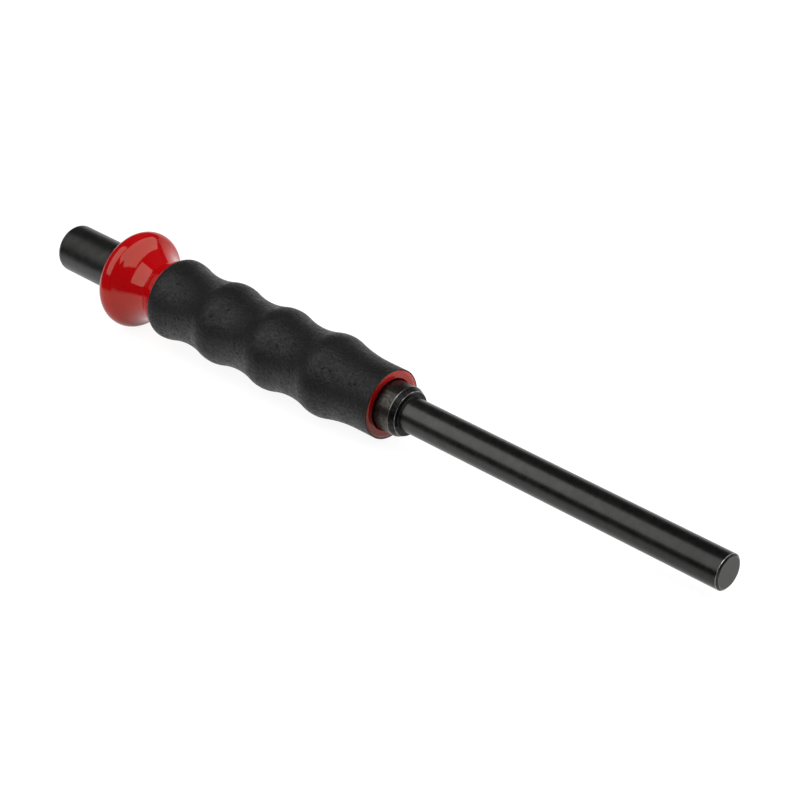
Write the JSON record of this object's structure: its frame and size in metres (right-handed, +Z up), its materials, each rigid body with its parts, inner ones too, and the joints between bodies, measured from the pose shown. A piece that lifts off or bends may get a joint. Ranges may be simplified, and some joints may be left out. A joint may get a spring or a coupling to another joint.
{
  "type": "pin punch",
  "caption": "Sheathed pin punch: a stepped steel bar with a long drive pin, a liner with a round hand guard, and a soft finger grip.",
  "frame": {"origin": "centre of the flat face at the tip of the drive pin", "axes": "+X along the tool's axis, out of the tip in the direction that the punch drives; +Z up with the tool lying on its side; +Y across"},
  "size_m": [0.2438, 0.0292, 0.0292],
  "materials": {
    "black_steel": "hardened steel, black oxide, semi-gloss",
    "red_plastic": "moulded hard plastic, high gloss",
    "black_elastomer": "overmoulded elastomer, matt with a fine grain"
  },
  "bodies": {
    "root": {"punch_bar": "black_steel", "guard_liner": "red_plastic", "finger_grip": "black_elastomer"}
  },
  "joints": []
}
